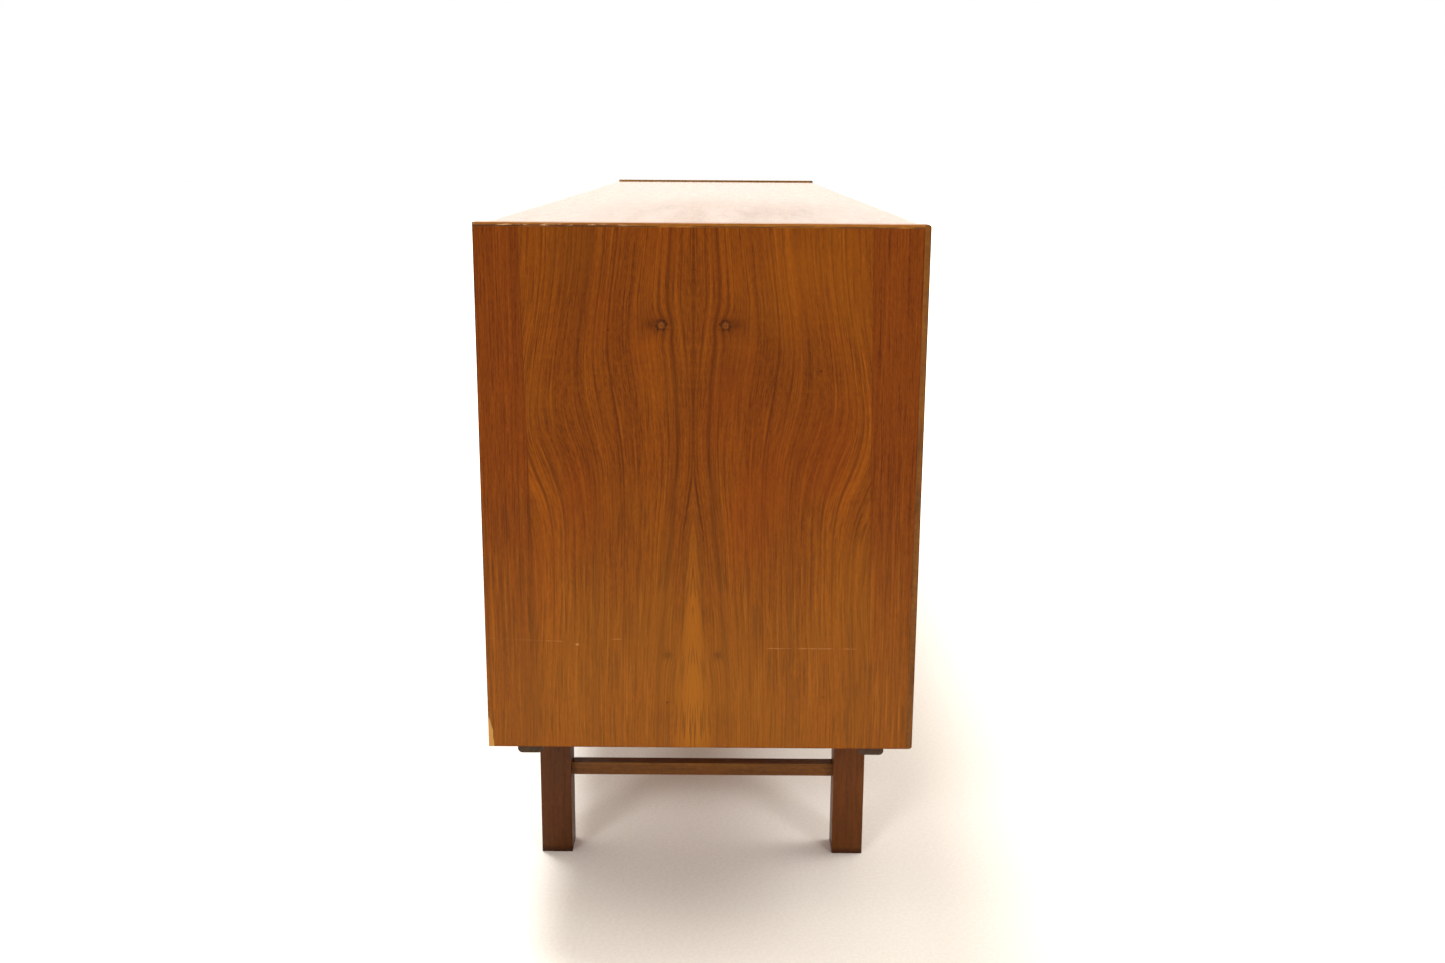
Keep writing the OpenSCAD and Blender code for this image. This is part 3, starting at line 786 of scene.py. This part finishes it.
def dress_ends():
    """The end panels with their lippings."""
    dress("end_panel_left", end_panel_wood("bookmatched_teak_left", 8 * MM, SEAMS_LEFT, 2.0, True))
    dress("end_panel_right", end_panel_wood("bookmatched_teak_right", -5 * MM, SEAMS_RIGHT, 31.0, False))
    for side, seed in (("left", 5.0), ("right", 6.0)):
        dress(f"top_lipping_{side}", lipping_wood(f"rim_lipping_{side}", side == "left"))
        dress(f"front_lipping_{side}", log_wood(
            f"front_lipping_wood_{side}", Z, TEAK_OLIVE, seed=seed, pith=(0.2, 0.03), worn=front_edge_shade_and_scuffs))
        soften([f"end_panel_{side}", f"top_lipping_{side}"], 0.3 * MM)


def dress_boards():
    """The top and bottom, the partitions, the back panels and the shelves."""
    dress("top_board", top_wood())
    dress_board("bottom_board", "teak", X, Z, TEAK, 51.0, lipping=5 * MM)
    for k, name in enumerate(("partition_doors", "partition_drawers")):
        dress_board(name, "teak", Z, X, TEAK, 60.0 + k, lipping=LIPPING_W)
    for k, name in enumerate(("left", "middle", "right")):
        dress_board(f"back_panel_{name}", "veneer", Z, Y, PLYWOOD, 70.0 + k, roughness=0.6, rub=0.15)
    for k, name in enumerate(("shelf_left", "shelf_middle")):
        dress_board(name, "veneer", X, Z, PLYWOOD, 80.0 + k, lipping=LIPPING_W, lipping_tones=TEAK)
    soften(["top_board", "bottom_board"], 0.5 * MM)
    soften(["partition_doors", "partition_drawers", "shelf_left", "shelf_middle"], 0.5 * MM)


def dress_doors():
    """Upright grain, mirrored about the middle of each door, and a turned cup."""
    for k, side in enumerate(ENDS):
        door = f"door_{side}"
        cup = f"door_cup_{side}"
        low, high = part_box(door)
        dress_board(door, "teak", Z, Y, TEAK, 100.0 + k * 5, lipping=LIPPING_W, mirror=(low.x + high.x) / 2)
        dress(cup, turned_wood(f"{cup}_teak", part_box(cup), 110.0 + k))
        soften([door, cup], 0.6 * MM)


def dress_drawers():
    """Veneered fronts with solid grips, beech sides and backs, and birch bottoms."""
    for i in DRAWERS:
        front, grip, bottom = [f"drawer_{i}_{piece}" for piece in ("front", "grip", "bottom")]
        dress_board(front, "teak", X, Y, TEAK, 120.0 + i, lipping=LIPPING_W)
        dress(grip, log_wood(f"{grip}_teak", X, TEAK_BROWN, seed=270.0 + i, centre=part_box(grip)[0]))
        dress_board(bottom, "birch", X, Z, BEECH, 160.0 + i, roughness=0.6, contrast=0.6, rub=0.0)
        soften([front], 0.8 * MM)
        soften([grip], 3.0 * MM, 4)
        for k, (piece, grain) in enumerate((("side_left", Y), ("side_right", Y), ("back", X))):
            name = f"drawer_{i}_{piece}"
            dress(name, log_wood(
                f"{name}_beech", grain, BEECH, seed=130.0 + i * 4 + k, pith=(0.11, 0.2),
                centre=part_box(name)[0], roughness=0.5, contrast=0.7))
            soften([name], 0.7 * MM)


def dress_legs():
    """The front legs are lighter than the rear ones, and no two show the same grain."""
    places = [(end, side) for end in ENDS for side in SIDES]
    for k, (end, side) in enumerate(places, start=1):
        name = f"leg_{end}_{side}"
        low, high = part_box(name)
        tones = TEAK_BROWN if side == "front" else TEAK_DEEP
        dress(name, log_wood(
            f"{name}_teak", Z, tones, seed=200.0 + k * 3, pith=(0.05 + 0.01 * k, 0.035),
            centre=(low + high) / 2, contrast=0.7, worn=shaded_scuffed_foot(tones)))
        soften([name], 2.0 * MM, 3)


def dress_frame_rails():
    """The cross rail and the stretcher of each leg frame."""
    for k, end in ((2, "left"), (4, "right")):
        rail = f"cross_rail_{end}"
        stretcher = f"stretcher_{end}"
        dress(rail, log_wood(f"{rail}_teak", Y, TEAK_BROWN, seed=220.0 + k, centre=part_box(rail)[0]))
        dress(stretcher, log_wood(
            f"{stretcher}_teak", Y, TEAK_OLIVE, seed=230.0 + k, pith=(0.06, 0.02),
            centre=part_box(stretcher)[0], specular=0.24))
        soften([stretcher, rail], 0.8 * MM)


def dress_small_parts():
    """Bearer rails, door tracks, drawer runners, dowels and shelf pins."""
    for k, side in enumerate(SIDES):
        dress(f"bearer_{side}", stained(f"bearer_{side}_stain", 240.0 + k))
        soften([f"bearer_{side}"], 0.5 * MM)
    for k, side in enumerate(("top", "bottom")):
        track = f"door_track_{side}"
        dress(track, log_wood(
            f"{track}_wood", X, TRACK, seed=250.0 + k, centre=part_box(track)[0], roughness=0.35))
    dress("drawer_runners", log_wood(
        "runner_beech", Y, BEECH, seed=260.0, centre=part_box("drawer_runners")[0], roughness=0.4))
    dress("carcass_dowels", log_wood("dowel_beech", X, BEECH, seed=262.0))
    dress("shelf_pins", metal("pin_brass", PIN_BRASS, DULL_BRASS, 0.35))


# ---------------------------------------------------------------- screws made here

# Head radius, head height and slot width, then the shaft's radius
BACK_SCREW_HEAD = (3.0 * MM, 1.2 * MM, 0.9 * MM)
BACK_SCREW_SHAFT = 1.5 * MM
BASE_SCREW_HEAD = (5.0 * MM, 3.0 * MM, 1.4 * MM)
BASE_SCREW_SHAFT = 2.5 * MM

# Rows across a head on each side of its slot, as shares of its radius, and steps along a row
HEAD_ROWS = (-0.98, -0.8, -0.5)
HEAD_STEPS = 8
# As shares of the head's height
SLOT_DEPTH = 0.62
DOME_HEIGHT = 0.35
# A made screw stays a hair inside the CAD screw that it replaces
HEAD_FIT = 0.99
LENGTH_FIT = 0.995

SHAFT_SIDES = 10
THREAD_STEP = 1.1 * MM
THREAD_ROOT = 0.82
# Shares of the shaft where it begins to narrow, and where it would end in nothing
POINT_START = 0.85
POINT_END = 1.02


def add_piece(name, shape, material, body, replaced):
    """A finished piece from a bmesh, placed in the row frame."""
    bmesh.ops.recalc_face_normals(shape, faces=shape.faces)
    mesh = bpy.data.meshes.new(name)
    shape.to_mesh(mesh)
    shape.free()
    mesh.materials.append(material)
    piece = bpy.data.objects.new(name, mesh)
    bpy.context.collection.objects.link(piece)
    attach(piece, body)
    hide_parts(replaced)


def separate_boxes(name):
    """The box around each separate solid of a CAD node, in the order of their places."""
    shape = bmesh.new()
    shape.from_mesh(nodes[name].data)
    bmesh.ops.remove_doubles(shape, verts=shape.verts, dist=0.01 * MM)
    boxes = []
    left = set(shape.verts)
    while left:
        island = [left.pop()]
        for vert in island:
            for edge in vert.link_edges:
                other = edge.other_vert(vert)
                if other in left:
                    left.remove(other)
                    island.append(other)
        low = Vector([min(v.co[k] for v in island) for k in (X, Y, Z)])
        high = Vector([max(v.co[k] for v in island) for k in (X, Y, Z)])
        boxes.append((low, high))
    shape.free()
    return sorted(boxes, key=lambda box: tuple(box[0]))


def join_rings(shape, near, beyond):
    """A band of faces between two closed rings of equally many points."""
    count = len(near)
    for k in range(count):
        after = (k + 1) % count
        shape.faces.new((near[k], near[after], beyond[after], beyond[k]))


def around(rows):
    """The outermost items of a grid, once around."""
    rim = [row[0] for row in rows] + rows[-1][1:]
    rim += [row[-1] for row in reversed(rows[:-1])]
    rim += reversed(rows[0][1:-1])
    return rim


def head_rows(radius, height, slot):
    """Rows of places across a domed disc, two of them at the bottom of its slot."""
    near = [(radius * share, False) for share in HEAD_ROWS]
    cut = [(-slot / 2, False), (-slot / 2, True), (slot / 2, True), (slot / 2, False)]
    beyond = [(-across, sunk) for across, sunk in reversed(near)]
    rows = []
    for across, sunk in near + cut + beyond:
        chord = math.sqrt(radius * radius - across * across)
        row = []
        for k in range(HEAD_STEPS + 1):
            along = chord * math.sin((k / HEAD_STEPS - 0.5) * math.pi)
            far = math.hypot(along, across) / radius
            depth = height * SLOT_DEPTH if sunk else height * DOME_HEIGHT * far * far
            row.append((along, across, -depth))
        rows.append(row)
    return rows


def slotted_head(shape, turn, radius, height, slot):
    """A screw head that reaches down along -Z from the origin."""
    rows = head_rows(radius, height, slot)
    points = [[shape.verts.new(turn @ Vector(place)) for place in row] for row in rows]
    for near, beyond in zip(points, points[1:]):
        for k in range(HEAD_STEPS):
            shape.faces.new((near[k], near[k + 1], beyond[k + 1], beyond[k]))
    base = [shape.verts.new(turn @ Vector((x, y, -height))) for x, y, _ in around(rows)]
    join_rings(shape, around(points), base)
    shape.faces.new(base)


def screw_shaft(shape, turn, radius, start, end):
    """A shaft along -Z with its thread drawn as rings, ending in a point."""
    rings = []
    steps = max(4, int((end - start) / THREAD_STEP))
    for step in range(steps + 1):
        share = step / steps
        narrowing = 1.0 if share < POINT_START else (POINT_END - share) / (POINT_END - POINT_START)
        r = radius * (THREAD_ROOT if step % 2 else 1.0) * narrowing
        z = -(start + (end - start) * share)
        angles = [side * 2 * math.pi / SHAFT_SIDES for side in range(SHAFT_SIDES)]
        places = [Vector((r * math.cos(angle), r * math.sin(angle), z)) for angle in angles]
        rings.append([shape.verts.new(turn @ place) for place in places])
    for near, beyond in zip(rings, rings[1:]):
        join_rings(shape, near, beyond)
    shape.faces.new(rings[0])
    shape.faces.new(rings[-1])


def make_screws(name, outward, head, shaft_radius, material):
    """Slotted screws in place of a CAD node's plain ones; outward is where their heads face."""
    dress(name, material)
    rng = random.Random(len(name))
    shape = bmesh.new()
    outward = Vector(outward)
    axis = [abs(v) for v in outward].index(1.0)
    facing = outward.to_track_quat("Z", "Y").to_matrix().to_4x4()
    radius, height, cut = head
    for low, high in separate_boxes(name):
        origin = (low + high) / 2
        origin[axis] = high[axis] if outward[axis] > 0 else low[axis]
        spin = Matrix.Rotation(rng.uniform(0, math.pi), 4, "Z")
        turn = Matrix.Translation(origin) @ facing @ spin
        slotted_head(shape, turn, radius * HEAD_FIT, height, cut)
        screw_shaft(shape, turn, shaft_radius, height, (high - low)[axis] * LENGTH_FIT)
    add_piece(f"{name}_slotted", shape, material, "carcass", name)


# ---------------------------------------------------------------- everything

make_camera()
make_light()
make_floor()
dress_ends()
dress_boards()
dress_doors()
dress_drawers()
dress_legs()
dress_frame_rails()
dress_small_parts()
screw_brass = metal("screw_brass", SCREW_BRASS, DULL_BRASS, 0.38)
screw_steel = metal("screw_steel", ZINC, DULL_ZINC, 0.42)
make_screws("back_panel_screws", (0, 1, 0), BACK_SCREW_HEAD, BACK_SCREW_SHAFT, screw_brass)
make_screws("base_screws", (0, 0, -1), BASE_SCREW_HEAD, BASE_SCREW_SHAFT, screw_steel)
